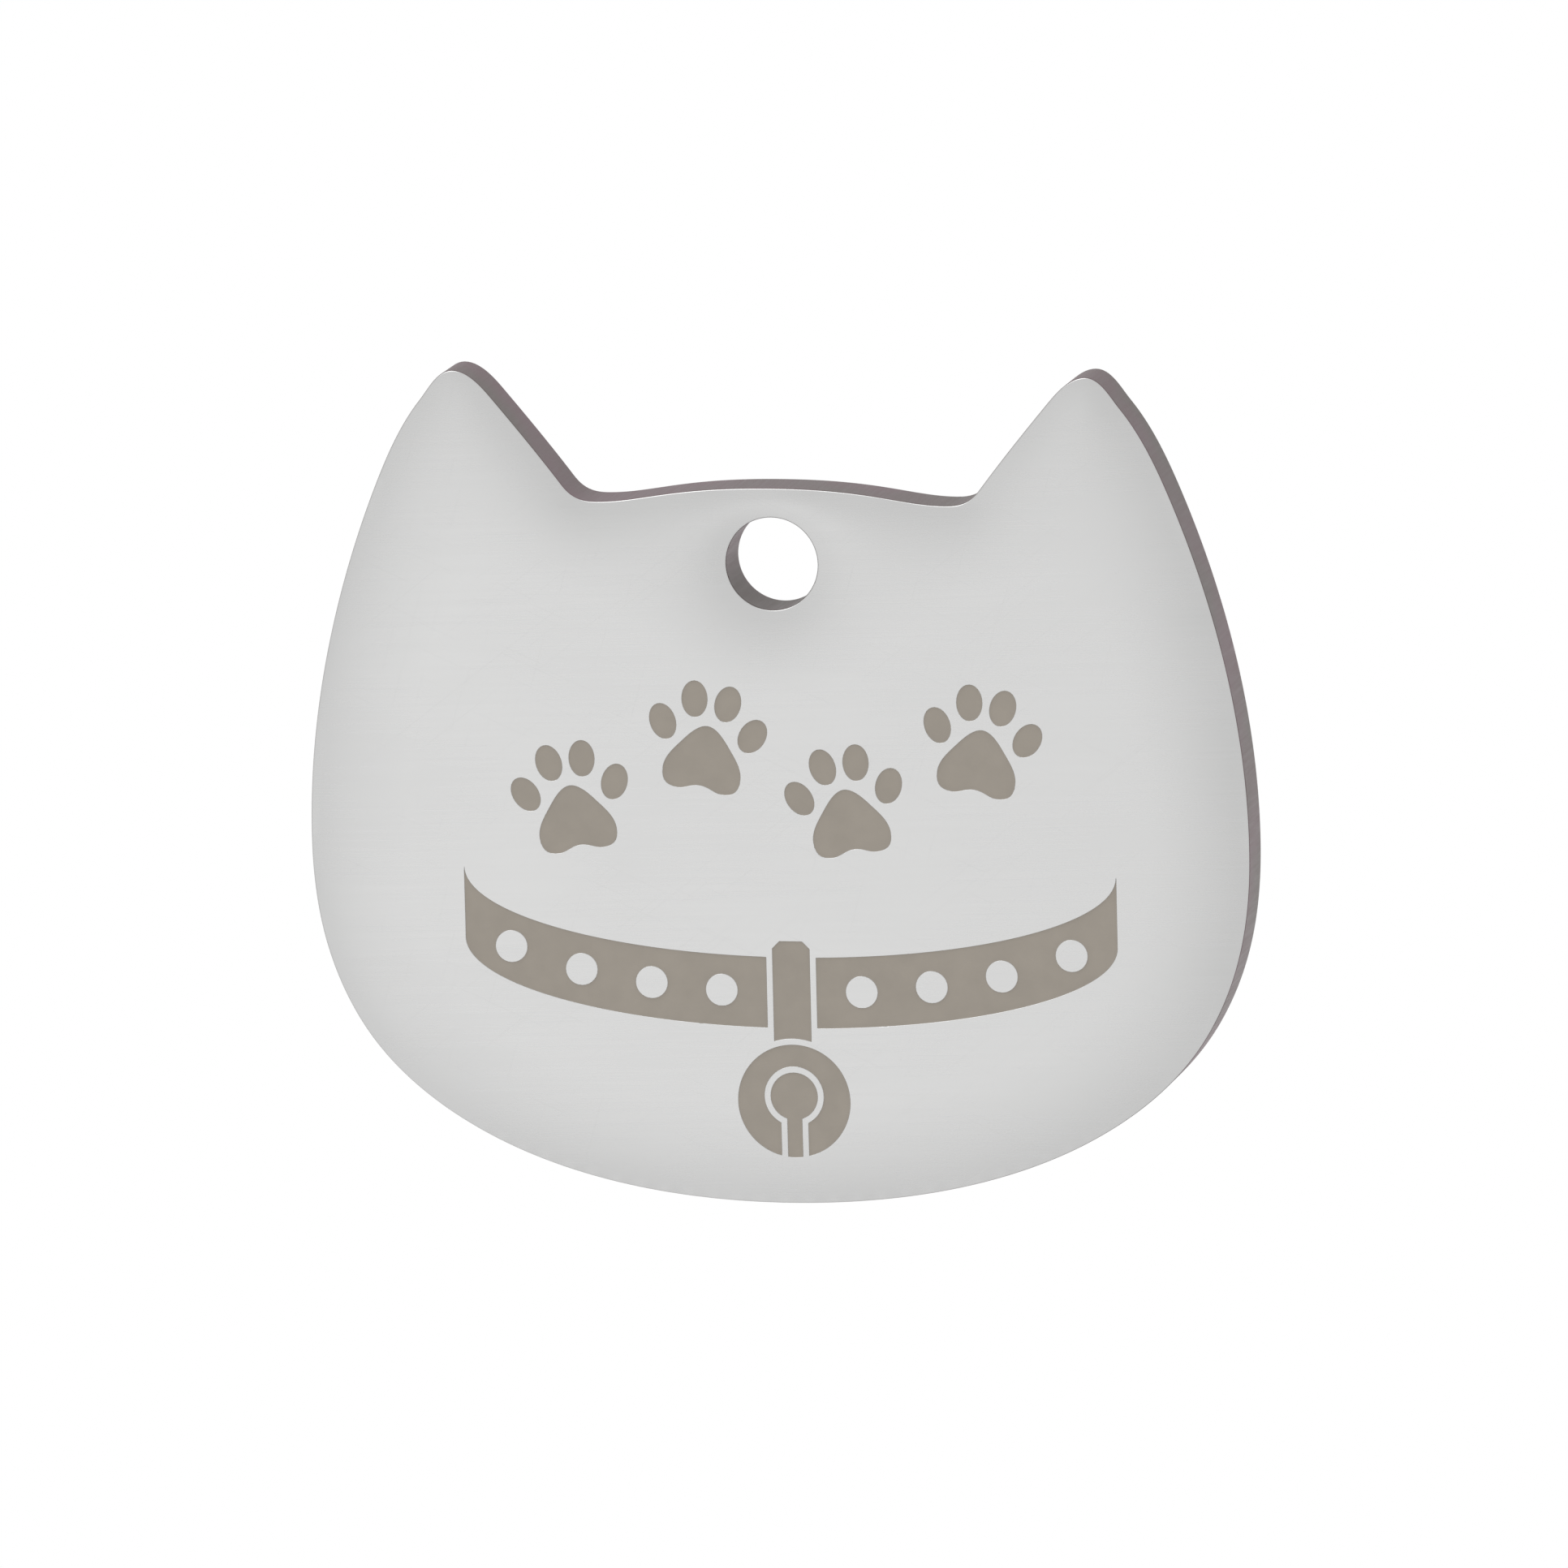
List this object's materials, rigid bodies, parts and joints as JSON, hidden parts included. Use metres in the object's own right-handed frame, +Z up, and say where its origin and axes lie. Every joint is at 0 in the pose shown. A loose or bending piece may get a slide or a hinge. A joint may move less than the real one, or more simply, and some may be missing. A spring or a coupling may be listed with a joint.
{
  "type": "pet id tag",
  "caption": "Cat-head pet tag cut from stainless sheet, with a ring hole between the ears and an enamel-filled collar, bell and paw print trail on its face.",
  "frame": {"origin": "centre of the ring hole, halfway through the plate's thickness", "axes": "+Z up from the hole to the ear tips as the tag hangs, +X to the viewer's right across the face, +Y through the ring hole from the engraved face to the back"},
  "size_m": [0.0308, 0.002, 0.027],
  "materials": {
    "stainless_plate": "satin, with a darker cut edge",
    "taupe_enamel": "matt enamel"
  },
  "bodies": {
    "root": {"tag_plate": "stainless_plate", "left_strap_fill": "taupe_enamel", "right_strap_fill": "taupe_enamel", "keeper_fill": "taupe_enamel", "bell_fill": "taupe_enamel", "bell_slot_fill": "taupe_enamel", "paw_fill_1": "taupe_enamel", "paw_fill_2": "taupe_enamel", "paw_fill_3": "taupe_enamel", "paw_fill_4": "taupe_enamel"}
  },
  "joints": []
}
